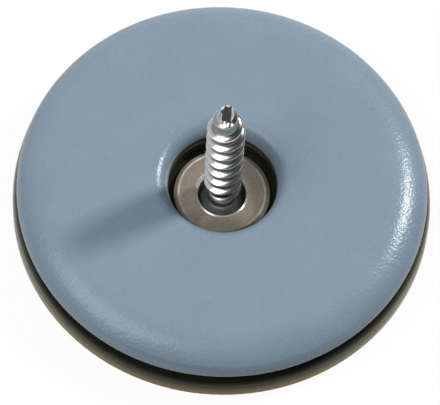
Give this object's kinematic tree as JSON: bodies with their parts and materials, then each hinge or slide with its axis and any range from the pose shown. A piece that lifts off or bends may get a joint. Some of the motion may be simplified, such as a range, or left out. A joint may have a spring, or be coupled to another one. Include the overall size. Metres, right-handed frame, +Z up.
{
  "type": "furniture slider",
  "caption": "Round screw-on furniture slider: a rounded low-friction disc on a rubber cushion and steel plate, with a bush and a wood screw through its centre.",
  "frame": {"origin": "centre of the backing plate's underside, on the surface that the part stands on", "axes": "+Z up along the screw, from its head to its point; X and Y lie in the plate's underside"},
  "size_m": [0.05, 0.05, 0.025],
  "materials": {
    "low_friction_plastic": "satin, fine grained",
    "black_rubber": "matt",
    "plated_steel": "dark plated, satin",
    "turned_steel": "turned, satin plated",
    "zinc_plated_steel": "bright zinc"
  },
  "bodies": {
    "slider": {"glide_cap": "low_friction_plastic", "rubber_cushion": "black_rubber", "backing_plate": "plated_steel", "screw_bush": "turned_steel"},
    "screw": {"wood_screw": "zinc_plated_steel"}
  },
  "joints": [
    {"name": "screw_turn", "type": "hinge", "parent": "slider", "child": "screw", "pos_m": [0, 0, 0], "axis": [0, 0, 1], "continuous": true}
  ]
}
